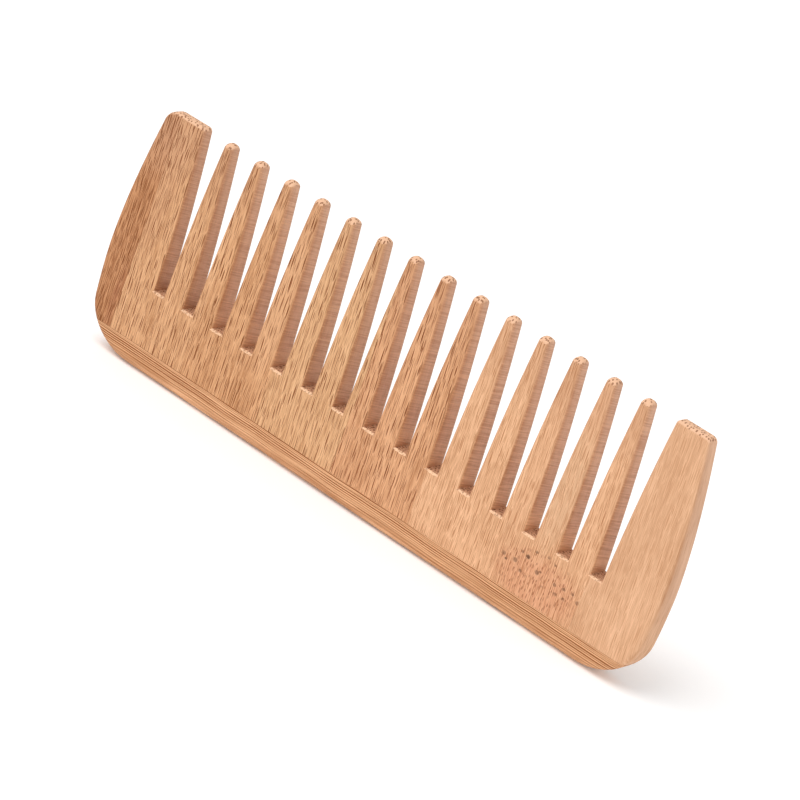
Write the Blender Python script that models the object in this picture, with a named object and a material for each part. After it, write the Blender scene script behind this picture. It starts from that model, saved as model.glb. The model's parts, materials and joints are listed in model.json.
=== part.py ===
"""A bamboo wide tooth comb, standing on its back with its teeth up.

A row of bamboo strips with their grain along the teeth is glued edge to edge. A long strip, with its
grain along the comb, is glued across their feet as the spine. The blank is planed to a wedge, its outline
and edges are rounded, and the slots are sawn down from the tips, through the glue joints where they fall.

Metres. +X runs along the comb, the front faces -Y, +Z runs from the back to the tooth tips, and the
origin is under the middle of the back.
"""

from math import atan, ceil, cos, hypot, pi, sin

import bmesh
import bpy

# Toothing
inner_teeth = 14
pitch = 0.0081
slot_width = 0.0028  # at the slot floor
tooth_length = 0.0344  # slot floor to tip
tip_width = 0.0017  # where a tooth's tapered walls reach the tip line
tip_flat = 0.0002  # what the round leaves flat on top of a tooth
floor_chamfer = 0.0006  # on the slot floor's front and back edges

# The two wide guard teeth
guard_width_left = 0.0142  # outer end to the first slot, at its floor
guard_width_right = 0.0128
guard_lean_left = 0.0012  # how far the slot side leans out over the tooth length
guard_lean_right = 0.0016
guard_corner = 0.0010  # round on the slot side of the top

# Blank
body_height = 0.0116  # glue seam to slot floor
spine_height = 0.0051
back_thickness = 0.0063
tip_thickness = 0.0031
end_taper = 0.0035  # how much each end draws in from its widest level to the top
end_bow = 1.65  # 1 draws the end in along a straight line, 2 along an arc
widest_above_floor = 0.0036
heel_length = 0.0112  # the round corner where the back meets an end
heel_height = 0.0090
edge_round = 0.0009  # on the ends and the top
back_round = 0.0022  # on the back
face_corner_left = 0.0034  # top outer corner of the flat face, inside the rounded edge
face_corner_right = 0.0003

# Strips
first_strip_width = 0.0071  # what the rounded end leaves of the first strip
strip_width = 0.0201
narrowest_strip = 0.0040  # a narrower leftover at the right end stays with the strip before it
glue_gap = 0.0003  # between two strips, and between the strips and the spine

# Facets
corner_steps = 6
end_steps = 8
round_steps = 3
past = 0.002  # how far cutters reach past what they cut

length = guard_width_left + inner_teeth * pitch + slot_width + guard_width_right
height = spine_height + body_height + tooth_length
floor_z = spine_height + body_height
widest_z = floor_z + widest_above_floor
left_end = -length / 2
right_end = length / 2
first_slot_x = left_end + guard_width_left + slot_width / 2
half_depth = max(back_thickness, tip_thickness) / 2 + past

strip_tones = (
    (0.47, 0.21, 0.10),
    (0.66, 0.36, 0.19),
    (0.60, 0.31, 0.16),
    (0.68, 0.38, 0.21),
    (0.64, 0.34, 0.18),
    (0.76, 0.44, 0.26),
    (0.72, 0.39, 0.22),
    (0.76, 0.45, 0.27),
)
spine_tone = (0.64, 0.35, 0.17)


def new_object(name, mesh_builder):
    mesh = bpy.data.meshes.new(name)
    bmesh.ops.recalc_face_normals(mesh_builder, faces=mesh_builder.faces)
    mesh_builder.to_mesh(mesh)
    mesh_builder.free()
    made = bpy.data.objects.new(name, mesh)
    bpy.context.scene.collection.objects.link(made)
    return made


def helper(made):
    """Marks a cutter or a guide, which is not a piece of the comb."""
    made.hide_render = True
    made.display_type = "WIRE"
    return made


def loft(name, rings):
    """A closed body through rings of points, each ring closed and the first and last one capped."""
    bm = bmesh.new()
    loops = [[bm.verts.new(point) for point in ring] for ring in rings]
    for lower, upper in zip(loops, loops[1:]):
        for i in range(len(lower)):
            j = (i + 1) % len(lower)
            bm.faces.new((lower[i], lower[j], upper[j], upper[i]))
    bm.faces.new(loops[0])
    bm.faces.new(loops[-1])
    return new_object(name, bm)


def box(name, low, high):
    corners = ((low[0], low[2]), (high[0], low[2]), (high[0], high[2]), (low[0], high[2]))
    return loft(name, [[(x, y, z) for x, z in corners] for y in (low[1], high[1])])


def boolean(target, operation, other):
    modifier = target.modifiers.new(other.name, "BOOLEAN")
    modifier.operation = operation
    modifier.object = other


def bamboo(name, tone):
    material = bpy.data.materials.new(name)
    material.use_nodes = True
    shader = material.node_tree.nodes["Principled BSDF"]
    shader.inputs["Base Color"].default_value = (*tone, 1)
    shader.inputs["Roughness"].default_value = 0.55
    shader.inputs["Metallic"].default_value = 0
    return material


def half_thickness(z):
    return (back_thickness + (tip_thickness - back_thickness) * z / height) / 2


def draw_in(z):
    """How far an end lies inside the comb's full length at a height."""
    return end_taper * (abs(z - widest_z) / (height - widest_z)) ** end_bow


def end_outline(end, face_corner):
    """One end's outline from the back to the top, as (x, z, rounding): the heel, the bowed end, the corner."""
    inward = -1 if end > 0 else 1
    points = []
    for step in range(corner_steps + 1):
        turn = pi / 2 * (1 - step / corner_steps)
        z = heel_height * (1 - sin(turn))
        x = end + inward * (draw_in(z) + heel_length * (1 - cos(turn)))
        points.append((x, z, edge_round + (back_round - edge_round) * sin(turn)))
    corner = face_corner + edge_round
    corner_z = height - corner
    for step in range(1, end_steps):
        z = heel_height + (corner_z - heel_height) * step / end_steps
        points.append((end + inward * draw_in(z), z, edge_round))
    for step in range(corner_steps + 1):
        turn = pi / 2 * step / corner_steps
        x = end + inward * (draw_in(corner_z) + corner * (1 - cos(turn)))
        points.append((x, corner_z + corner * sin(turn), edge_round))
    return points


def blank_outline():
    right = end_outline(right_end, face_corner_right)
    left = end_outline(left_end, face_corner_left)
    return right + left[::-1]


def blank():
    """The whole blank before it is parted and sawn: a wedge with every outer edge rounded."""
    outline = blank_outline()
    inward = []
    for i, (x, z, _) in enumerate(outline):
        before = outline[i - 1]
        after = outline[(i + 1) % len(outline)]
        along = (after[0] - before[0], after[1] - before[1])
        size = hypot(*along)
        inward.append((-along[1] / size, along[0] / size))

    def ring(turn, side):
        points = []
        for (x, z, rounding), (nx, nz) in zip(outline, inward):
            inset = rounding * (1 - sin(turn))
            z_here = z + nz * inset
            depth = half_thickness(z_here) - rounding * (1 - cos(turn))
            points.append((x + nx * inset, side * depth, z_here))
        return points

    turns = [pi / 2 * step / round_steps for step in range(round_steps + 1)]
    rings = [ring(turn, -1) for turn in turns] + [ring(turn, 1) for turn in reversed(turns)]
    return helper(loft("blank", rings))


def slot_side(floor_x, lean, corner=None, stop_x=None):
    """One wall of a slot from its floor up, as (x, z). It leans by lean over the tooth length, rounds over
    at the tip line and rises clear of it. The round has the corner radius, or ends at stop_x."""
    side = 1 if lean > 0 else -1
    slope = abs(lean) / tooth_length
    spread = hypot(1, slope) - slope
    if stop_x is not None:
        corner = abs(stop_x - floor_x - lean) / spread
    centre_x = floor_x + lean + side * corner * spread
    points = [(floor_x, floor_z)]
    start = atan(slope)
    for step in range(corner_steps + 1):
        turn = start + (pi / 2 - start) * step / corner_steps
        points.append((centre_x - side * corner * cos(turn), height - corner * (1 - sin(turn))))
    points.append((points[-1][0], height + past))
    return points


def slot_cutter(index):
    """The cutter of one slot, and how far it reaches to the left and right."""
    middle = first_slot_x + index * pitch
    tooth_lean = (pitch - slot_width - tip_width) / 2
    reach = (pitch - tip_flat) / 2
    left_x = middle - slot_width / 2
    right_x = middle + slot_width / 2
    if index == 0:
        left = slot_side(left_x, -guard_lean_left, corner=guard_corner)
    else:
        left = slot_side(left_x, -tooth_lean, stop_x=middle - reach)
    if index == inner_teeth:
        right = slot_side(right_x, guard_lean_right, corner=guard_corner)
    else:
        right = slot_side(right_x, tooth_lean, stop_x=middle + reach)

    flat_depth = half_thickness(floor_z) - floor_chamfer
    rings = []
    for y in (-half_depth, -flat_depth, flat_depth, half_depth):
        drop = abs(y) - flat_depth
        ring = [(x, y, z) for x, z in left[::-1] + right]
        for i, wall in ((len(left) - 1, left), (len(left), right)):
            slope = (wall[1][0] - wall[0][0]) / (wall[1][1] - wall[0][1])
            ring[i] = (wall[0][0] - slope * drop, y, floor_z - drop)
        rings.append(ring)
    return helper(loft(f"slot_cutter_{index + 1}", rings)), left[-1][0], right[-1][0]


def strip_joints():
    """The glue joints between board strips, from left to right."""
    room = length - first_strip_width - narrowest_strip
    return [left_end + first_strip_width + i * strip_width for i in range(ceil(room / strip_width))]


def board_strips(whole, cutters):
    """The strips that carry the teeth, each cut from the blank between its glue joints and then sawn."""
    joints = strip_joints()
    edges = [left_end - past - glue_gap / 2, *joints, right_end + past + glue_gap / 2]
    for i, (start, end) in enumerate(zip(edges, edges[1:])):
        low = (start + glue_gap / 2, -half_depth, spine_height + glue_gap / 2)
        high = (end - glue_gap / 2, half_depth, height + past)
        name = f"board_strip_{i + 1}"
        if i == 0:
            name = "left_guard_strip"
        if i == len(joints):
            name = "right_guard_strip"
        strip = box(name, low, high)
        boolean(strip, "INTERSECT", whole)
        for cutter, reach_left, reach_right in cutters:
            if reach_left < high[0] and reach_right > low[0]:
                boolean(strip, "DIFFERENCE", cutter)
        strip.data.materials.append(bamboo(name + "_bamboo", strip_tones[i % len(strip_tones)]))


def spine_strip(whole):
    low = (left_end - past, -half_depth, -past)
    high = (right_end + past, half_depth, spine_height - glue_gap / 2)
    strip = box("spine_strip", low, high)
    boolean(strip, "INTERSECT", whole)
    strip.data.materials.append(bamboo("spine_strip_bamboo", spine_tone))


for existing in list(bpy.data.objects):
    bpy.data.objects.remove(existing)
whole_blank = blank()
board_strips(whole_blank, [slot_cutter(index) for index in range(inner_teeth + 1)])
spine_strip(whole_blank)
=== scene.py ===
import math

import bmesh
import bpy
from mathutils import Matrix, Vector, noise
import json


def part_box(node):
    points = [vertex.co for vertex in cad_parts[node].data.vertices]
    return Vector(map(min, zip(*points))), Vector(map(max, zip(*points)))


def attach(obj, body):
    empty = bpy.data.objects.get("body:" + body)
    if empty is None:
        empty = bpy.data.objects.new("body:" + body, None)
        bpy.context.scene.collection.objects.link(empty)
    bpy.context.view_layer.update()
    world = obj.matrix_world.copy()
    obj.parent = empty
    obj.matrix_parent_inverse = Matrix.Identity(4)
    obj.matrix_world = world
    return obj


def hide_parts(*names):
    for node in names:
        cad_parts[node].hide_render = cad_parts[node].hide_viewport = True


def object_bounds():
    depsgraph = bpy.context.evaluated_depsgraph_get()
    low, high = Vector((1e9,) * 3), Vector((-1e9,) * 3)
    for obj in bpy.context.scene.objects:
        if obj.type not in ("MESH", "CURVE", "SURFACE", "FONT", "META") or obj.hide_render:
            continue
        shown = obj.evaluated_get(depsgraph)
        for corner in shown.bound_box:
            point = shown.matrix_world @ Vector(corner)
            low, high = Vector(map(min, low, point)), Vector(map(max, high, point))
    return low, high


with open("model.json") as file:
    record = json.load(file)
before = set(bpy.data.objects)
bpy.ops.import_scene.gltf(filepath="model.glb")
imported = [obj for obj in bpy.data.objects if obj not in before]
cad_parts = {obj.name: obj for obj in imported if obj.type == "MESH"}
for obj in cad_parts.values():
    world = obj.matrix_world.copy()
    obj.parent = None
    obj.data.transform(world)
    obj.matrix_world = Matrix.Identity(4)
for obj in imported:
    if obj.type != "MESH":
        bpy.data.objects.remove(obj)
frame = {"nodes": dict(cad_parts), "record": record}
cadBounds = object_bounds()
mm = 0.001
print("frame loaded:", len(frame["nodes"]), "strips")


# the strips in the frame, in millimetres

def nodeBox(name):
    low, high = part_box(name)
    return low / mm, high / mm


boardNames = [
    "left_guard_strip",
    "board_strip_2",
    "board_strip_3",
    "board_strip_4",
    "board_strip_5",
    "board_strip_6",
    "board_strip_7",
    "right_guard_strip",
]
boardBoxes = [nodeBox(name) for name in boardNames]
joints = [(a[1].x + b[0].x) / 2 for a, b in zip(boardBoxes, boardBoxes[1:])]
seam = (nodeBox("spine_strip")[1].z + boardBoxes[2][0].z) / 2
slotMiddles = [
    (gap["box_m"][0][0] + gap["box_m"][1][0]) / 2 / mm for gap in frame["record"]["physics"]["openings"]
]
leftEnd, rightEnd = cadBounds[0].x / mm, cadBounds[1].x / mm
top = cadBounds[1].z / mm


# the comb's outline, walked with the wood on its left as seen from the front

blank = {
    "backThickness": 6.3,
    "tipThickness": 3.1,
    "widestHeight": 20.3,
    "endTaper": 3.5,
    "endBow": 1.65,
    "heelLength": 11.2,
    "heelHeight": 9.4,
    "leftCorner": 2.9,
    "rightCorner": 1.3,
    "edgeRound": 0.9,  # on the top, and low on the ends
    "endRound": 0.42,  # high on the ends
    "backRound": 2.2,
    "backEase": 1.5,  # how late a heel's edges widen to the back's round
    "clearance": 0.08,  # kept from the frame's box
    "heelSteps": 12,
    "endSteps": 16,
    "softSteps": 9,  # how many of those the end's round takes to narrow
    "cornerSteps": 12,
    "roundSteps": 5,
    "wallSteps": 18,
    "straight": 0.03,  # a turn of the outline that counts as none
}

slots = {
    "floor": 16.7,
    "width": 2.8,
    "tipWidth": 2.1,
    "tipFlat": 0.1,
    "guardLeanLeft": 1.2,
    "guardLeanRight": 1.6,
    "guardCorner": 1.0,
    "belly": 0.32,  # how far a tooth's walls bow out at mid height
    "rootRound": 0.34,  # how far a tooth's face edges are rounded at its root
    "tipRound": 0.85,
    "roundEase": 0.7,
    "domeRound": 0.95,  # over the top of a tooth, in from its walls
    "domeDepth": 1.5,  # the same in from its faces
    "domeSink": 0.9,  # how much lower the dome starts on a face than in the middle
    "domeEase": 0.8,
    "lip": 0.3,  # bevel where the saw broke out at a slot's floor
    "lipBow": 0.6,
    "lipTear": 0.5,
    "lipRates": (1.1, 3.1),  # coarse and fine tears in a millimetre
    "lipFine": 0.2,  # of the coarse tears' depth
    "floorSteps": 16,
    "floorFibre": 0.16,
    "fibreRates": ((2.6, 1.9), (6.5, 4.5)),
    "fibreFine": 0.7,
    "wallSpans": 12,
    "arcSteps": 8,
}


def between(low, high, part):
    return low + (high - low) * part


def halfThickness(z):
    return between(blank["backThickness"], blank["tipThickness"], z / top) / 2


def drawIn(z):
    widest = blank["widestHeight"]
    return blank["endTaper"] * (abs(z - widest) / (top - widest)) ** blank["endBow"]


def edge(inset, depth=None, bevel=False, sink=0.0):
    # how a point's edge is shaped: in from the outline, back from the face, flat or round, and sunk
    return (inset, inset if depth is None else depth, bevel, sink)


def endOutline(end, corner, toLeft):
    # heel, bowed end and top corner, from the back upwards
    points = []
    heel, tall = blank["heelLength"], blank["heelHeight"]
    end += toLeft * blank["clearance"]
    for step in range(blank["heelSteps"] + 1):
        turn = math.pi / 2 * (1 - step / blank["heelSteps"])
        z = tall * (1 - math.sin(turn))
        x = end + toLeft * (drawIn(z) + heel * (1 - math.cos(turn)))
        kind = edge(between(blank["edgeRound"], blank["backRound"], math.sin(turn) ** blank["backEase"]))
        points.append((x, z, kind, kind))
    cornerHeight = top - corner
    for step in range(1, blank["endSteps"]):
        z = between(tall, cornerHeight, step / blank["endSteps"])
        soft = 1 - min(1, step / blank["softSteps"])
        kind = edge(between(blank["endRound"], blank["edgeRound"], soft))
        points.append((end + toLeft * drawIn(z), z, kind, kind))
    for step in range(blank["cornerSteps"] + 1):
        part = step / blank["cornerSteps"]
        turn = math.pi / 2 * part
        x = end + toLeft * (drawIn(cornerHeight) + corner * (1 - math.cos(turn)))
        kind = edge(between(blank["endRound"], blank["edgeRound"], part))
        points.append((x, cornerHeight + corner * math.sin(turn), kind, kind))
    return points


def slotWall(foot, lean, corner=None, stop=None):
    # one wall from its floor up, then over the round at its top
    side = 1 if lean > 0 else -1
    tall = top - slots["floor"]
    slope = abs(lean) / tall
    spread = math.hypot(1, slope) - slope
    if stop is not None:
        corner = abs(stop - foot - lean) / spread
    centre = foot + lean + side * corner * spread
    start = math.atan(slope)
    arcX = centre - side * corner * math.cos(start)
    arcZ = top - corner * (1 - math.sin(start))
    points = []
    spans = slots["wallSpans"]
    for step in range(spans):
        part = step / spans
        x = between(foot, arcX, part) - side * slots["belly"] * 4 * part * (1 - part)
        z = between(slots["floor"], arcZ, part)
        kind = edge(between(slots["rootRound"], slots["tipRound"], part ** slots["roundEase"]))
        points.append((x, z, kind, kind))
    for step in range(slots["arcSteps"] + 1):
        turn = between(start, math.pi / 2, step / slots["arcSteps"])
        x = centre - side * corner * math.cos(turn)
        z = top - corner * (1 - math.sin(turn))
        kind = edge(slots["tipRound"])
        if stop is not None:
            over = (step / slots["arcSteps"]) ** slots["domeEase"]
            inset = between(slots["tipRound"], slots["domeRound"], over)
            depth = between(slots["tipRound"], slots["domeDepth"], over)
            kind = edge(inset, depth, sink=slots["domeSink"] * over)
        points.append((x, z, kind, kind))
    return points


def slotFloor(middle, number):
    # from right to left along the torn end grain
    points = []
    half = slots["width"] / 2
    steps = slots["floorSteps"]
    coarse, fine = slots["lipRates"]
    for step in range(1, steps):
        x = middle + half - slots["width"] * step / steps
        torn = noise.noise((x * coarse, number * 3.7, 0.4))
        torn += slots["lipFine"] * noise.noise((x * fine, number, 2.2))
        bow = slots["lipBow"] * math.sin(math.pi * step / steps)
        inset = slots["lip"] * (1 + bow + slots["lipTear"] * torn)
        kind = edge(inset, slots["lip"] * (1 + bow / 2), bevel=True)
        points.append((x, slots["floor"], kind, kind))
    return points


def combOutline():
    outline = endOutline(rightEnd, blank["rightCorner"], -1)
    last = len(slotMiddles) - 1
    pitch = slotMiddles[1] - slotMiddles[0]
    toothLean = (pitch - slots["width"] - slots["tipWidth"]) / 2
    reach = (pitch - slots["tipFlat"]) / 2
    lip = edge(slots["lip"], bevel=True)
    for number in range(last, -1, -1):
        middle = slotMiddles[number]
        half = slots["width"] / 2
        if number == last:
            right = slotWall(middle + half, slots["guardLeanRight"], corner=slots["guardCorner"])
        else:
            right = slotWall(middle + half, toothLean, stop=middle + reach)
        if number == 0:
            left = slotWall(middle - half, -slots["guardLeanLeft"], corner=slots["guardCorner"])
        else:
            left = slotWall(middle - half, -toothLean, stop=middle - reach)
        x, z, before, _ = right[0]
        right[0] = (x, z, before, lip)
        x, z, _, after = left[0]
        left[0] = (x, z, lip, after)
        outline += right[::-1] + slotFloor(middle, number) + left
    outline += endOutline(leftEnd, blank["leftCorner"], 1)[::-1]
    return outline


# the whole comb as one skin: rings of the outline from the front face, round the edge and to the back

def insetAt(kind, turn):
    inset, depth, bevel, _ = kind
    if bevel:
        part = turn / (math.pi / 2)
        return inset * (1 - part), depth * part
    return inset * (1 - math.sin(turn)), depth * (1 - math.cos(turn))


def outlineNormals(outline):
    normals = []
    for (x, z, _, _), (nextX, nextZ, _, _) in zip(outline, outline[1:] + outline[:1]):
        span = math.hypot(nextX - x, nextZ - z)
        normals.append((-(nextZ - z) / span, (nextX - x) / span))
    return normals


def edgeRing(outline, normals, turn):
    ring = []
    for i, (x, z, before, after) in enumerate(outline):
        first, second = normals[i - 1], normals[i]
        insetFirst, depthFirst = insetAt(before, turn)
        insetSecond, depthSecond = insetAt(after, turn)
        cross = first[0] * second[1] - first[1] * second[0]
        if abs(cross) < blank["straight"]:
            shift = (insetFirst + insetSecond) / 2
            x, z = x + first[0] * shift, z + first[1] * shift
        else:
            x += (insetFirst * second[1] - insetSecond * first[1]) / cross
            z += (insetSecond * first[0] - insetFirst * second[0]) / cross
        z -= after[3] * (1 - math.sin(turn))
        ring.append((x, halfThickness(z) - max(depthFirst, depthSecond), z))
    return ring


def fibreAt(x, y):
    # torn end grain on a slot's floor
    coarse, fine = slots["fibreRates"]
    rough = noise.noise((x * coarse[0], y * coarse[1], 5.0))
    rough += slots["fibreFine"] * noise.noise((x * fine[0], y * fine[1], 9.0))
    return slots["floorFibre"] * rough


def combSkin():
    outline = combOutline()
    normals = outlineNormals(outline)
    steps = blank["roundSteps"]
    turns = [math.pi / 2 * step / steps for step in range(steps + 1)]
    faces = [edgeRing(outline, normals, turn) for turn in turns]
    onFloor = [before[2] and after[2] for _, _, before, after in outline]
    rings = []
    for ring in faces:
        rings.append([(x, -y, z) for x, y, z in ring])
    for step in range(1, blank["wallSteps"]):
        across = 2 * step / blank["wallSteps"] - 1
        rings.append([(x, y * across, z) for x, y, z in faces[-1]])
    for ring in reversed(faces):
        rings.append([(x, y, z) for x, y, z in ring])
    skin = bmesh.new()
    loops = []
    for number, ring in enumerate(rings):
        inner = steps <= number < len(rings) - steps
        loop = []
        for i, (x, y, z) in enumerate(ring):
            if inner and onFloor[i]:
                z -= abs(fibreAt(x, y))
            loop.append(skin.verts.new((x, y, z)))
        loops.append(loop)
    for lower, upper in zip(loops, loops[1:]):
        for i in range(len(lower)):
            j = (i + 1) % len(lower)
            skin.faces.new((lower[i], lower[j], upper[j], upper[i]))
    skin.faces.new(loops[0][::-1])
    skin.faces.new(loops[-1])
    bmesh.ops.recalc_face_normals(skin, faces=skin.faces)
    return skin


wholeComb = combSkin()
print("comb skin:", len(wholeComb.verts), "points")


# materials

class Wire:
    # a socket that can be used in a Python expression
    def __init__(self, shade, socket):
        self.shade = shade
        self.socket = socket

    def maths(self, operation, first, second=None):
        values = {0: first} if second is None else {0: first, 1: second}
        return self.shade.node("ShaderNodeMath", {"operation": operation}, values)

    def __add__(self, other):
        return self.maths("ADD", self, other)

    def __sub__(self, other):
        return self.maths("SUBTRACT", self, other)

    def __rsub__(self, other):
        return self.maths("SUBTRACT", other, self)

    def __mul__(self, other):
        return self.maths("MULTIPLY", self, other)

    def __truediv__(self, other):
        return self.maths("DIVIDE", self, other)

    def __rtruediv__(self, other):
        return self.maths("DIVIDE", other, self)

    def __abs__(self):
        return self.maths("ABSOLUTE", self)

    def most(self, other):
        return self.maths("MAXIMUM", self, other)

    __radd__ = __add__
    __rmul__ = __mul__


class Shade:
    # the nodes of a material, or of the world
    def __init__(self, owner, shader="Principled BSDF"):
        owner.use_nodes = True
        self.owner = owner
        self.tree = owner.node_tree
        self.surface = self.tree.nodes[shader]

    def node(self, kind, settings=None, values=None, out=0):
        made = self.tree.nodes.new(kind)
        for key, value in (settings or {}).items():
            setattr(made, key, value)
        for key, value in (values or {}).items():
            self.feed(made.inputs[key], value)
        return Wire(self, made.outputs[out])

    def feed(self, socket, value):
        if isinstance(value, Wire):
            self.tree.links.new(value.socket, socket)
        elif socket.type == "RGBA":
            socket.default_value = (*value, 1)
        else:
            socket.default_value = value

    def step(self, value, low, high):
        # 0 at low, 1 at high, smooth between
        settings = {"interpolation_type": "SMOOTHSTEP"}
        return self.node("ShaderNodeMapRange", settings, {0: value, 1: low, 2: high})

    def blend(self, amount, first, second):
        settings = {"data_type": "RGBA"}
        return self.node("ShaderNodeMix", settings, {0: amount, 6: first, 7: second}, out=2)

    def point(self, x, y, z):
        return self.node("ShaderNodeCombineXYZ", None, {0: x, 1: y, 2: z})

    def split(self, vector):
        parts = self.node("ShaderNodeSeparateXYZ", None, {0: vector}).socket.node.outputs
        return [Wire(self, part) for part in parts]

    def cloud(self, place, detail=2.0, rough=0.5):
        values = {"Vector": place, "Scale": 1.0, "Detail": detail, "Roughness": rough}
        return self.node("ShaderNodeTexNoise", None, values)

    def cells(self, place, loose=1.0):
        # a point to each square of a grid: how far off it is, where it is, and a colour of its own
        settings = {"voronoi_dimensions": "2D", "feature": "F1"}
        values = {"Vector": place, "Scale": 1.0, "Randomness": loose}
        outputs = self.node("ShaderNodeTexVoronoi", settings, values).socket.node.outputs
        return [Wire(self, outputs[name]) for name in ("Distance", "Position", "Color")]

    def finish(self, colour, roughness, height, relief, sheen):
        inputs = self.surface.inputs
        self.feed(inputs["Base Color"], colour)
        self.feed(inputs["Roughness"], roughness)
        inputs["Specular IOR Level"].default_value = sheen
        values = {"Strength": 1.0, "Distance": relief, "Height": height}
        self.feed(inputs["Normal"], self.node("ShaderNodeBump", None, values))
        return self.owner


grain = {
    # how often the wood changes in a millimetre, across the grain and along it
    "sway": (0.06, 0.07),
    "blotch": (0.25, 0.06),
    "band": (1.1, 0.05),
    "streak": (3.6, 0.13),
    "streakRough": 0.75,
    "patch": (0.3, 0.12),
    "nap": (9, 0.8),
    # a strip's darkest and palest wood, against its tone
    "darker": (0.68, 0.58, 0.46),
    "paler": (1.28, 1.4, 1.46),
    "toneReach": 0.55,
    "stainEdge": (0.2, 1.3),
    # vessel bundles: spacing across and along in millimetres, then half width and half length
    "dashCell": (0.8, 4.5),
    "dashSize": (0.13, 2.05),
    "fineCell": (0.4, 3.1),
    "fineSize": (0.06, 1.5),
    "wearCell": (0.6, 9.0),
    "wearSize": (0.11, 5.5),
    "wallCell": (0.8, 4.4),
    "wallSize": (0.1, 1.5),
    "wallDash": 0.5,
    "patchEdge": (0.3, 0.6),
    "patchDash": (0.6, 0.4),  # darkness outside the patches, and what they add
    # towards the tips, heights in millimetres
    "crowdHeights": (30, 50),
    "tipHeights": (34, 48),
    "tipTone": (0.5, 0.255, 0.145),
    # which way a surface has to face to be a sawn wall, or end grain
    "sideFacing": (0.55, 0.9),
    "endFacing": (0.25, 0.65),
    # surface
    "sheen": 0.16,
    "roughness": 0.52,
    "darkRough": 0.1,
    "endRough": 0.25,
    "napHeight": 0.4,
    "streakHeight": 0.7,
    "dashDepth": 0.9,
    "sawHeight": 1.5,
    "relief": 0.035,
}

dash = {  # the pairs are the least, and what chance adds to it
    "loose": 0.9,
    "width": (0.6, 0.7),
    "length": (0.6, 0.8),
    "strength": (0.62, 0.38),
    "edge": 0.18,
    # the pale rim round a dash, a painted highlight
    "rim": (-1.5, -0.2),
}

walls = {
    # wall tint, partly the sawn wood's own tint and partly painted shade: darker and more orange towards
    # the front of each wall, paler at the back
    "front": (0.45, 0.185, 0.072),
    "back": (0.72, 0.45, 0.32),
    "frontToBack": (-2.8, 0.4),
    # painted shade, with some real tint: how far the sawn walls, and the comb's two ends, are darkened
    # towards the wall tint
    "duller": 0.7,
    "outerDuller": 0.4,  # on the comb's two ends
    "outerHeights": (6, 24),
    "innerReach": (4, 3),  # beyond the first and last slots' middles
    "floorEdge": 0.3,
    "rootHeight": 6,
    # dark brown, used for painted shade at the roots and on the slot floors, and for scorch, saw lines and
    # torn fibres
    "rootColour": (0.40, 0.17, 0.08),
    "rootGlow": (0.97, 0.58, 0.32),
    "footHeight": 2,
    "footShade": 0.3,
    "sawPitch": 0.25,
    "sawLean": 0.22,
    "sawRun": (0.1, 0.12),
    "sawDark": (0.46, 0.62),
    "sawPale": (0.46, 0.34),
    "sawDepth": 0.4,
    "sawGlow": 0.3,
}

endGrain = {
    "colour": (0.83, 0.515, 0.335),
    # the lips' tone: partly pale torn end grain, partly painted highlight on the bevel
    "lipColour": (0.92, 0.60, 0.38),
    "cover": (0.85, 0.1),  # on a tip, and what a slot's floor adds
    "dotCell": 0.6,
    "dotSize": (0.21, 0.336),
    "dotColour": (0.17, 0.045, 0.012),
    "dotDepth": 0.85,
    "floorEdge": (0.1, 0.6),
    "lipReach": (0.55, 0.3),  # in from the face
    "straw": 2.2,
    "strawRough": 0.75,
    "strawPale": (0.42, 0.6),
    "strawDark": (0.52, 0.34),
    "strawGlow": 0.7,
    "lipGlow": 0.85,
    "lipClear": 0.5,  # how much fainter the dots are on a lip
    "floorShade": 0.5,
    "strawShade": 0.6,
}


def chanced(pair, chance):
    return pair[0] + chance * pair[1]


def drawnOut(shade, across, y, along, rate, shift, detail=2.0, rough=0.5):
    # soft change, drawn out along the grain; the shift only picks another part of the noise
    return shade.cloud(shade.point(across * rate[0], y * rate[0], along * rate[1] + shift), detail, rough)


def dashes(shade, across, along, cell, size, seed):
    # tapered marks, one to a cell, each with a length and a darkness of its own, and their pale rims, which
    # are a painted highlight
    place = shade.point(across / cell[0] + seed, along / cell[1] + seed * 1.7, 0.0)
    _, found, colour = shade.cells(place, dash["loose"])
    apart = shade.split(shade.node("ShaderNodeVectorMath", {"operation": "SUBTRACT"}, {0: place, 1: found}))
    chance = shade.split(colour)
    wide = abs(apart[0]) * (cell[0] / size[0]) / chanced(dash["width"], chance[2])
    long = abs(apart[1]) * (cell[1] / size[1]) / chanced(dash["length"], chance[1])
    lens = 1 - long * long - wide
    strength = chanced(dash["strength"], chance[0])
    core = shade.step(lens, 0.0, dash["edge"])
    rim = shade.step(lens, *dash["rim"]) * (1 - core)
    return core * strength, rim * strength


def stained(shade, colour, x, z, stains):
    # soft patches of another tone
    for middleX, middleZ, reachX, reachZ, depth, tint in stains:
        offX, offZ = (x - middleX) / reachX, (z - middleZ) / reachZ
        patch = 1 - shade.step(offX * offX + offZ * offZ, *grain["stainEdge"])
        colour = shade.blend(patch * depth, colour, tint)
    return colour


def plyLines(shade, colour, look, x, layer, paleTone):
    # the spine's dark lines, each with a painted highlight beside it
    fine, _ = dashes(shade, layer, x, look["fineCell"], look["fineSize"], look["seed"] + 9)
    dark = fine * look["fineDash"]
    for height, depth, thick in look["plies"]:
        worn = shade.cloud(shade.point(x * look["wornRate"], height * 7.3, look["seed"]))
        line = 1 - shade.step(abs(layer - height), thick * look["lineCore"], thick)
        kept = chanced(look["wornDepth"], shade.step(worn, *look["wornEdge"]))
        dark = dark.most(line * kept * depth)
        plyHighlight = 1 - shade.step(abs(layer - height - thick - look["rimOff"]), *look["rimEdge"])
        colour = shade.blend(plyHighlight * depth * look["rim"], colour, paleTone)
    return shade.blend(dark, colour, look["dashTone"]), dark


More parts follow.
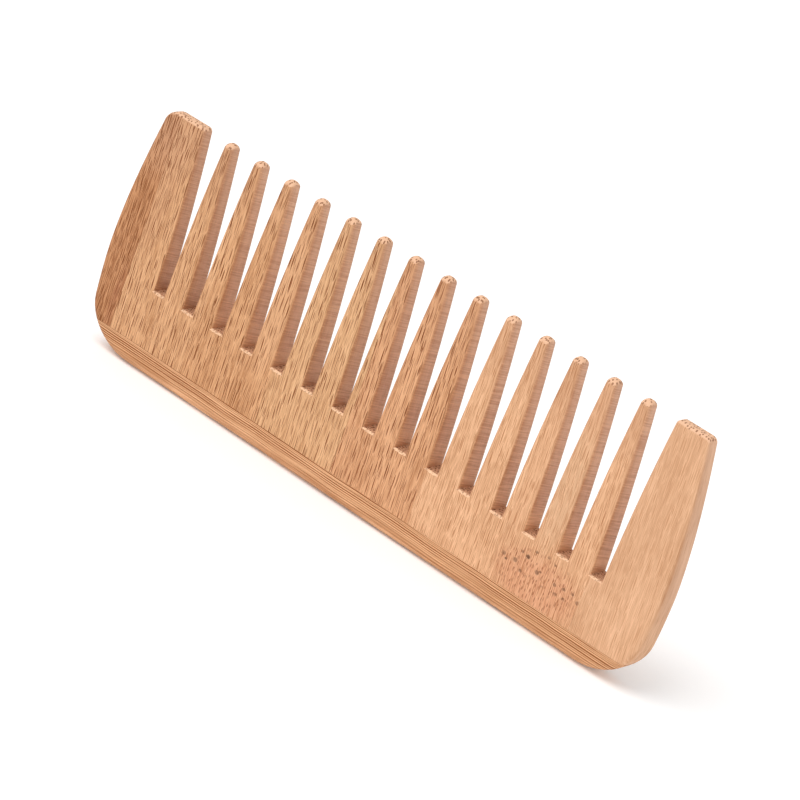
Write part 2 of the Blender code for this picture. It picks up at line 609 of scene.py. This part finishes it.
def vesselMarks(shade, colour, look, drift, y, z, side, ends, paleTone):
    # dashes on the faces, crowding towards the tips, and fainter ones on the sawn walls
    seed = look["seed"]
    patch = shade.step(drawnOut(shade, drift, y, z, grain["patch"], seed * 3), *grain["patchEdge"])
    bold, rim = dashes(shade, drift, z, grain["dashCell"], grain["dashSize"], seed)
    fine, _ = dashes(shade, drift, z, grain["fineCell"], grain["fineSize"], seed + 5)
    pale, _ = dashes(shade, drift, z, grain["wearCell"], grain["wearSize"], seed + 7)
    onWall, _ = dashes(shade, y, z, grain["wallCell"], grain["wallSize"], seed + 11)
    bold = bold * chanced(grain["patchDash"], patch)
    fine = fine * (1 + shade.step(z, *grain["crowdHeights"]) * look["tipDash"])
    # painted highlight on the dash rims, together with pale streaks
    colour = shade.blend(rim.most(pale * look["wear"]) * (1 - side) * look["rim"], colour, paleTone)
    dark = (bold * look["dash"]).most(fine * look["fineDash"]) * (1 - side)
    dark = (dark + onWall * side * grain["wallDash"]) * (1 - ends)
    tip = shade.step(z, *grain["tipHeights"]) * look["tipDash"] * look["tipShade"]
    colour = shade.blend(tip, colour, grain["tipTone"])
    return shade.blend(dark, colour, look["dashTone"]), dark


def sawnWalls(shade, colour, look, x, y, z, side, paleTone):
    # duller and darker than the faces, partly the sawn wood's own tint and partly painted shade, with saw
    # lines, and darker down at the roots: partly burn marks and partly painted shade in the slots, with
    # some painted light lifting the roots
    floor = slots["floor"]
    far, near = walls["innerReach"]
    inner = shade.step(x, slotMiddles[0] - far, slotMiddles[0] - near)
    inner = inner * (1 - shade.step(x, slotMiddles[-1] + near, slotMiddles[-1] + far))
    wall = side * inner * shade.step(z, floor - walls["floorEdge"], floor + walls["floorEdge"])
    root = 1 - shade.step(z, floor, floor + walls["rootHeight"])
    foot = 1 - shade.step(z, floor, floor + walls["footHeight"])
    lines = (z + y * walls["sawLean"]) / walls["sawPitch"]
    saw = shade.cloud(shade.point(x * walls["sawRun"][0], y * walls["sawRun"][1], lines))
    # painted shade across each wall, with some real tint: darker orange at the front, paler at the back
    wallTintAndShade = shade.blend(shade.step(y, *walls["frontToBack"]), walls["front"], walls["back"])
    # darker wall roots: partly burn marks, partly painted shade deep in the slots; wallShade adds painted
    # shade over a strip's whole walls
    scorch = (root * look["scorch"]).most(look["wallShade"])
    outerEnd = side * (1 - inner) * shade.step(z, *walls["outerHeights"])
    # painted shade, with some real tint: the sawn walls darkened towards the wall tint
    colour = shade.blend(wall * walls["duller"], colour, wallTintAndShade)
    # painted light: the wall roots lifted towards a bright orange, against the shade in the slots
    colour = shade.blend(wall * root * look["rootGlow"], colour, walls["rootGlow"])
    colour = shade.blend(wall * scorch, colour, walls["rootColour"])
    # painted shade where the walls meet the slot floors
    colour = shade.blend(wall * foot * walls["footShade"], colour, walls["rootColour"])
    # painted shade on the side bands of the comb's two ends
    colour = shade.blend(outerEnd * walls["outerDuller"], colour, wallTintAndShade)
    sawDark = shade.step(saw, *walls["sawDark"]) * walls["sawDepth"]
    colour = shade.blend(wall * sawDark, colour, walls["rootColour"])
    sawPale = shade.step(saw, *walls["sawPale"]) * walls["sawGlow"]
    return shade.blend(wall * sawPale, colour, paleTone), saw * wall


def endsAndFloors(shade, colour, seed, x, y, z, ends):
    # end grain, with its bundles as dots, and the torn slot floors: pale lips, partly pale torn fibres and
    # partly a painted highlight on the bevel, and the floor behind them darkened, partly painted shade
    cell = endGrain["dotCell"]
    core, _, _ = shade.cells(shade.point(x / cell, y / cell + seed, 0.0))
    dots = 1 - shade.step(core, *endGrain["dotSize"])
    onFloor = ends * (1 - shade.step(z, *(slots["floor"] + part for part in endGrain["floorEdge"])))
    face = halfThickness(slots["floor"])
    lipAt = shade.step(abs(y), *(face - part for part in endGrain["lipReach"]))
    rate = endGrain["straw"]
    straw = shade.cloud(shade.point(x * rate, y * rate, z * rate + seed), 3, endGrain["strawRough"])
    strawPale = shade.step(straw, *endGrain["strawPale"]) * endGrain["strawGlow"]
    strawDark = shade.step(straw, *endGrain["strawDark"]) * onFloor * endGrain["strawShade"]
    pale = strawPale.most(lipAt * endGrain["lipGlow"]) * onFloor
    tone = shade.blend(pale, endGrain["colour"], endGrain["lipColour"])
    # painted shade, with some real tone: the floor behind the lip darkened
    tone = shade.blend(onFloor * (1 - lipAt) * endGrain["floorShade"], tone, walls["rootColour"])
    tone = shade.blend(strawDark, tone, walls["rootColour"])
    dotted = dots * (1 - lipAt * endGrain["lipClear"]) * endGrain["dotDepth"]
    tone = shade.blend(dotted, tone, endGrain["dotColour"])
    return shade.blend(ends * chanced(endGrain["cover"], onFloor), colour, tone)


def addPores(shade, colour, x, z, pores):
    # the pores and short flecks of a growth node
    offX, offZ = (x - pores["x"]) / pores["reachX"], (z - pores["z"]) / pores["reachZ"]
    within = 1 - shade.step(offX * offX + offZ * offZ, *pores["edge"])
    spot = shade.point(x / pores["cell"][0] + 0.3, z / pores["cell"][1], 0.0)
    core, _, cellColour = shade.cells(spot, pores["loose"])
    chance = shade.split(cellColour)
    ragged = shade.cloud(shade.point(x * pores["raggedRate"][0], z * pores["raggedRate"][1], 0.0)) - 0.5
    core = core + ragged * pores["ragged"]
    size = pores["size"] * chanced(pores["sizeRange"], chance[0])
    upper = shade.step(z, *(pores["z"] + part for part in pores["upperEdge"]))
    spots = (1 - shade.step(core / size, *pores["poreEdge"])) * within * upper
    flecks, _ = dashes(shade, x, z, pores["fleckCell"], pores["fleckSize"], 3.3)
    colour = shade.blend(flecks * within * pores["fleckDepth"], colour, pores["fleckColour"])
    depth = chanced(pores["depthRange"], chance[1]) * pores["depth"]
    return shade.blend(spots * depth, colour, pores["colour"])


def bamboo(name, look, alongX=False):
    shade = Shade(bpy.data.materials.new(name))
    x, y, z = (part * (1 / mm) for part in shade.split(shade.node("ShaderNodeTexCoord", out="Object")))
    along, across = (x, z) if alongX else (z, x)
    seed = look["seed"]

    # the grain wanders a little and leans with the way the strip was ripped
    sway = drawnOut(shade, across, y, along, grain["sway"], seed) - 0.5
    drift = across + along * look["lean"] + sway * look["wander"]

    # tone
    blotch = drawnOut(shade, drift, y, along, grain["blotch"], seed * 1.3, detail=3) - 0.5
    band = drawnOut(shade, drift, y, along, grain["band"], seed * 2.1) - 0.5
    streak = drawnOut(shade, drift, y, along, grain["streak"], seed, 3, grain["streakRough"]) - 0.5
    shift = blotch * look["blotch"] + streak * look["streak"] + band * look["band"]
    darkTone = tuple(part * fall for part, fall in zip(look["tone"], grain["darker"]))
    paleTone = tuple(min(1, part * rise) for part, rise in zip(look["tone"], grain["paler"]))
    colour = shade.blend(shade.step(shift, -grain["toneReach"], grain["toneReach"]), darkTone, paleTone)
    colour = stained(shade, colour, x, z, look.get("stains", ()))

    # marks, and what they do to the surface
    nap = drawnOut(shade, drift, y, along, grain["nap"], seed)
    height = nap * grain["napHeight"] + streak * grain["streakHeight"]
    if alongX:
        layer = z + y * look["plyTilt"] + x * look["runOut"] + sway * look["plySway"]
        colour, dark = plyLines(shade, colour, look, x, layer, paleTone)
        height = height - dark * grain["dashDepth"]
        roughness = grain["roughness"] + dark * grain["darkRough"]
    else:
        facingX, _, facingZ = shade.split(shade.node("ShaderNodeTexCoord", out="Normal"))
        side = shade.step(abs(facingX), *grain["sideFacing"])
        ends = shade.step(facingZ, *grain["endFacing"])
        colour, dark = vesselMarks(shade, colour, look, drift, y, z, side, ends, paleTone)
        colour, saw = sawnWalls(shade, colour, look, x, y, z, side, paleTone)
        colour = endsAndFloors(shade, colour, seed, x, y, z, ends)
        height = height - dark * grain["dashDepth"] + saw * grain["sawHeight"]
        roughness = grain["roughness"] + dark * grain["darkRough"] + ends * grain["endRough"]
    if "pores" in look:
        colour = addPores(shade, colour, x, z, look["pores"])
    return shade.finish(colour, roughness, height, grain["relief"] * mm, grain["sheen"])


# pieces

hairline = 0.03  # what shows of a glue line
cutGrip = 1e-5
weld = 1e-4
sharpAngle = math.radians(38)


def cutAway(body, point, normal):
    # drops what lies on the side the normal points to, and closes the cut
    geometry = body.verts[:] + body.edges[:] + body.faces[:]
    cut = bmesh.ops.bisect_plane(
        body, geom=geometry, dist=cutGrip, plane_co=point, plane_no=normal, clear_outer=True
    )
    edges = [part for part in cut["geom_cut"] if isinstance(part, bmesh.types.BMEdge)]
    if edges:
        bmesh.ops.edgeloop_fill(body, edges=edges)


def addPiece(name, body, material):
    bmesh.ops.remove_doubles(body, verts=body.verts, dist=weld)
    bmesh.ops.recalc_face_normals(body, faces=body.faces)
    bmesh.ops.scale(body, vec=(mm, mm, mm), verts=body.verts)
    mesh = bpy.data.meshes.new(name)
    body.to_mesh(mesh)
    body.free()
    mesh.shade_smooth()
    mesh.set_sharp_from_angle(angle=sharpAngle)
    mesh.materials.append(material)
    piece = bpy.data.objects.new(name, mesh)
    bpy.context.scene.collection.objects.link(piece)
    weighted = piece.modifiers.new("Weighted normals", "WEIGHTED_NORMAL")
    weighted.keep_sharp = True
    return piece


def addBoardStrip(node, look):
    number = boardNames.index(node)
    body = wholeComb.copy()
    cutAway(body, (0, 0, seam + hairline / 2), (0, 0, -1))
    if number > 0:
        cutAway(body, (joints[number - 1] + hairline / 2, 0, 0), (-1, 0, 0))
    if number < len(joints):
        cutAway(body, (joints[number] - hairline / 2, 0, 0), (1, 0, 0))
    piece = addPiece(node + "_wood", body, bamboo(node + "_bamboo_grain", look))
    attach(piece, "root")
    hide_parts(node)


leftGuardStrip = {
    "tone": (0.48, 0.213, 0.097),
    "dashTone": (0.18, 0.045, 0.006),
    "seed": 1.7,
    "lean": 0.02,
    "wander": 0.45,
    "blotch": 1.2,
    "streak": 3.0,
    "band": 1.1,
    "dash": 0.9,
    "fineDash": 1.0,
    "wallShade": 0.18,
    "wear": 1.0,
    "scorch": 0.5,
    "rootGlow": 0,
    "tipDash": 0.6,
    "tipShade": 0.7,
    "rim": 0.7,
    "stains": [
        (-65.6, 11, 1.0, 8, 0.55, (0.34, 0.12, 0.055)),
        (-66, 49, 9, 12, 0.7, (0.58, 0.30, 0.16)),
    ],
}
addBoardStrip("left_guard_strip", leftGuardStrip)

boardStrip2 = {
    "tone": (0.655, 0.345, 0.178),
    "dashTone": (0.19, 0.044, 0.005),
    "seed": 4.3,
    "lean": 0.04,
    "wander": 0.45,
    "blotch": 0.7,
    "streak": 1.1,
    "band": 0.6,
    "dash": 1.0,
    "fineDash": 0.65,
    "wallShade": 0.16,
    "wear": 0.55,
    "scorch": 0.5,
    "rootGlow": 0,
    "tipDash": 0.6,
    "tipShade": 0.7,
    "rim": 0.7,
    "stains": [
        (-63, 36, 3.5, 14, 0.4, (0.44, 0.2, 0.1)),
    ],
}
addBoardStrip("board_strip_2", boardStrip2)

boardStrip3 = {
    "tone": (0.63, 0.322, 0.162),
    "dashTone": (0.19, 0.046, 0.005),
    "seed": 8.9,
    "lean": 0.03,
    "wander": 0.45,
    "blotch": 0.7,
    "streak": 1.2,
    "band": 0.7,
    "dash": 1.0,
    "fineDash": 0.6,
    "wallShade": 0.0,
    "wear": 0.55,
    "scorch": 0.1,
    "rootGlow": 0.45,
    "tipDash": 0.4,
    "tipShade": 0.7,
    "rim": 0.7,
    "stains": [
        (-27.6, 28, 3, 16, 0.6, (0.76, 0.43, 0.235)),
        (-31.7, 28, 3, 16, 0.3, (0.76, 0.43, 0.235)),
    ],
}
addBoardStrip("board_strip_3", boardStrip3)

boardStrip4 = {
    "tone": (0.665, 0.365, 0.19),
    "dashTone": (0.2, 0.05, 0.006),
    "seed": 13.1,
    "lean": 0.05,
    "wander": 0.45,
    "blotch": 0.6,
    "streak": 1.1,
    "band": 0.6,
    "dash": 1.0,
    "fineDash": 0.6,
    "wallShade": 0.07,
    "wear": 0.5,
    "scorch": 0.26,
    "rootGlow": 0.16,
    "tipDash": 0.3,
    "tipShade": 0.7,
    "rim": 0.7,
}
addBoardStrip("board_strip_4", boardStrip4)

boardStrip5 = {
    "tone": (0.645, 0.325, 0.17),
    "dashTone": (0.2, 0.05, 0.008),
    "seed": 17.6,
    "lean": 0.05,
    "wander": 0.45,
    "blotch": 0.7,
    "streak": 1.2,
    "band": 0.7,
    "dash": 1.0,
    "fineDash": 0.6,
    "wallShade": 0.06,
    "wear": 0.55,
    "scorch": 0.2,
    "rootGlow": 0.5,
    "tipDash": 0.3,
    "tipShade": 0.7,
    "rim": 0.7,
}
addBoardStrip("board_strip_5", boardStrip5)

boardStrip6 = {
    "tone": (0.73, 0.405, 0.232),
    "dashTone": (0.34, 0.11, 0.022),
    "seed": 22.4,
    "lean": 0.05,
    "wander": 0.45,
    "blotch": 0.5,
    "streak": 0.9,
    "band": 0.5,
    "dash": 0.66,
    "fineDash": 0.6,
    "wallShade": 0.05,
    "wear": 0.45,
    "scorch": 0.15,
    "rootGlow": 0.4,
    "tipDash": 0.2,
    "tipShade": 1.5,
    "rim": 0.6,
}
addBoardStrip("board_strip_6", boardStrip6)

boardStrip7 = {
    "tone": (0.7, 0.382, 0.217),
    "dashTone": (0.34, 0.105, 0.022),
    "seed": 27.9,
    "lean": 0.06,
    "wander": 0.45,
    "blotch": 0.5,
    "streak": 0.9,
    "band": 0.5,
    "dash": 0.56,
    "fineDash": 0.55,
    "wallShade": 0.0,
    "wear": 0.4,
    "scorch": 0.08,
    "rootGlow": 0.7,
    "tipDash": 0.2,
    "tipShade": 1.7,
    "rim": 0.6,
    "stains": [
        (46.5, 9.0, 10.5, 6.0, 0.46, (0.68, 0.29, 0.165)),
        (45.2, 28, 3, 14, 0.5, (0.7, 0.44, 0.265)),
    ],
    "pores": {
        "x": 46.3,
        "z": 9.8,
        "reachX": 10.2,
        "reachZ": 5.6,
        "edge": (0.65, 1.15),
        "upperEdge": (-0.8, 0.2),  # the pores keep to the node's upper part
        "cell": (2.6, 2.2),
        "loose": 0.9,
        "size": 0.22,
        "sizeRange": (0.6, 0.6),
        "poreEdge": (0.45, 1.0),
        "ragged": 0.1,
        "raggedRate": (2.5, 1.6),
        "fleckCell": (0.78, 1.5),
        "fleckSize": (0.14, 0.5),
        "fleckDepth": 0.75,
        "fleckColour": (0.3, 0.1, 0.04),
        "depth": 0.9,
        "depthRange": (0.65, 0.35),
        "colour": (0.14, 0.065, 0.035),
    },
}
addBoardStrip("board_strip_7", boardStrip7)

rightGuardStrip = {
    "tone": (0.69, 0.385, 0.226),
    "dashTone": (0.38, 0.14, 0.035),
    "seed": 31.2,
    "lean": 0.05,
    "wander": 0.45,
    "blotch": 0.5,
    "streak": 0.7,
    "band": 0.5,
    "dash": 0.42,
    "fineDash": 0.35,
    "wallShade": 0.04,
    "wear": 0.35,
    "scorch": 0.25,
    "rootGlow": 0.3,
    "tipDash": 0.0,
    "tipShade": 0.7,
    "rim": 0.5,
}
addBoardStrip("right_guard_strip", rightGuardStrip)

print("board strips:", len(boardNames))

spine = {
    "tone": (0.685, 0.363, 0.192),
    "dashTone": (0.26, 0.075, 0.014),
    "seed": 36.5,
    "lean": 0.0,
    "wander": 0.5,
    "blotch": 0.6,
    "streak": 1.5,
    "band": 1.6,
    "plies": [  # height of each dark line, its depth and its half thickness
        (4.86, 0.6, 0.07), (4.6, 1.0, 0.11), (4.3, 0.6, 0.07), (4.03, 1.0, 0.13), (3.68, 0.6, 0.08),
        (3.38, 0.9, 0.11), (2.9, 1.0, 0.16), (2.5, 0.95, 0.13), (2.08, 0.95, 0.15), (1.7, 0.5, 0.08),
        (1.25, 0.8, 0.14), (0.75, 0.5, 0.13),
    ],
    "lineCore": 0.4,  # of a line's half thickness, fully dark
    "plyTilt": 0.3,
    "plySway": 0.5,
    "runOut": 0.003,
    "wornRate": 0.05,
    "wornEdge": (0.35, 0.55),
    "wornDepth": (0.45, 0.55),
    "fineCell": (0.24, 16.0),
    "fineSize": (0.055, 12.0),
    "fineDash": 0.5,
    # painted highlight beside each line: its strength, offset and edge
    "rim": 1.0,
    "rimOff": 0.08,
    "rimEdge": (0.03, 0.14),
}
spineBody = wholeComb.copy()
cutAway(spineBody, (0, 0, seam - hairline / 2), (0, 0, 1))
spinePiece = addPiece("spine_strip_wood", spineBody, bamboo("spine_strip_bamboo_grain", spine, alongX=True))
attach(spinePiece, "root")
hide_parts("spine_strip")
wholeComb.free()
print("spine strip")


# floor, lights and camera

studio = {
    "floorColour": (0.98, 0.98, 0.98),
    "floorRoughness": 0.9,
    "floorSize": 6.0,
    "floorDrop": 0.00005,
    "floorGlow": 0.1,
    "farGlow": 0.6,  # beyond the comb's surroundings, so that the floor runs out in white
    "nearReach": 0.45,
    "farReach": 1.4,
    "sky": 0.66,
    "backWall": 1.0,
    "keyPower": 20.6,
    "keySize": 1.6,
    "keyPlace": (-0.55, -0.77, 1.76),
    "fillPower": 1.0,
    "fillSize": 0.8,
    "fillPlace": (0.7, -0.5, 0.35),
    "aim": (0.0, 0.0, 0.025),
}


def addFloor():
    half = studio["floorSize"] / 2
    body = bmesh.new()
    corners = [(-half, -half), (half, -half), (half, half), (-half, half)]
    body.faces.new([body.verts.new((x, y, -studio["floorDrop"])) for x, y in corners])
    mesh = bpy.data.meshes.new("floor")
    body.to_mesh(mesh)
    body.free()
    floor = bpy.data.objects.new("floor", mesh)
    bpy.context.scene.collection.objects.link(floor)
    shade = Shade(bpy.data.materials.new("pale_floor"))
    inputs = shade.surface.inputs
    inputs["Base Color"].default_value = (*studio["floorColour"], 1)
    inputs["Roughness"].default_value = studio["floorRoughness"]
    inputs["Emission Strength"].default_value = 1.0
    place = shade.node("ShaderNodeTexCoord", out="Object")
    away = shade.node("ShaderNodeVectorMath", {"operation": "LENGTH"}, {0: place}, out="Value")
    far = shade.step(away, studio["nearReach"], studio["farReach"])
    near, beyond = ((studio[key],) * 3 for key in ("floorGlow", "farGlow"))
    shade.feed(inputs["Emission Color"], shade.blend(far, near, beyond))
    mesh.materials.append(shade.owner)


def addLight(name, power, size, place):
    data = bpy.data.lights.new(name, "AREA")
    data.energy = power
    data.shape = "DISK"
    data.size = size
    light = bpy.data.objects.new(name, data)
    light.location = place
    light.rotation_euler = (Vector(studio["aim"]) - Vector(place)).to_track_quat("-Z", "Y").to_euler()
    bpy.context.scene.collection.objects.link(light)


def addSky():
    # a soft sky for the light, in front of a white wall
    world = bpy.data.worlds.new("studio")
    shade = Shade(world, "Background")
    seen = shade.node("ShaderNodeLightPath", out="Is Camera Ray")
    values = {"Value": seen, "To Min": studio["sky"], "To Max": studio["backWall"]}
    shade.surface.inputs["Color"].default_value = (1, 1, 1, 1)
    shade.feed(shade.surface.inputs["Strength"], shade.node("ShaderNodeMapRange", None, values))
    bpy.context.scene.world = world


view = {
    "azimuth": 32.44,
    "elevation": 21.17,
    "roll": 19.73,
    "distance": 0.70825,
    "target": (0.00343, 0.0, 0.02436),
    "lens": 170.0,
    "sensor": 36.0,
    "clipEnd": 10,
}


def addCamera():
    azimuth, elevation, roll = (math.radians(view[key]) for key in ("azimuth", "elevation", "roll"))
    target = Vector(view["target"])
    back = Vector((
        math.sin(azimuth) * math.cos(elevation),
        -math.cos(azimuth) * math.cos(elevation),
        math.sin(elevation),
    ))
    levelRight = (-back).cross(Vector((0, 0, 1))).normalized()
    levelUp = levelRight.cross(-back)
    right = levelRight * math.cos(roll) + levelUp * math.sin(roll)
    up = levelUp * math.cos(roll) - levelRight * math.sin(roll)
    data = bpy.data.cameras.new("camera")
    data.lens = view["lens"]
    data.sensor_width = view["sensor"]
    data.clip_end = view["clipEnd"]
    camera = bpy.data.objects.new("camera", data)
    turn = Matrix((right, up, back)).transposed().to_4x4()
    camera.matrix_world = Matrix.Translation(target + back * view["distance"]) @ turn
    bpy.context.scene.collection.objects.link(camera)
    bpy.context.scene.camera = camera


addFloor()
addSky()
addLight("key", studio["keyPower"], studio["keySize"], studio["keyPlace"])
addLight("fill", studio["fillPower"], studio["fillSize"], studio["fillPlace"])
addCamera()
bpy.context.scene.view_settings.view_transform = "Standard"
print("studio ready")
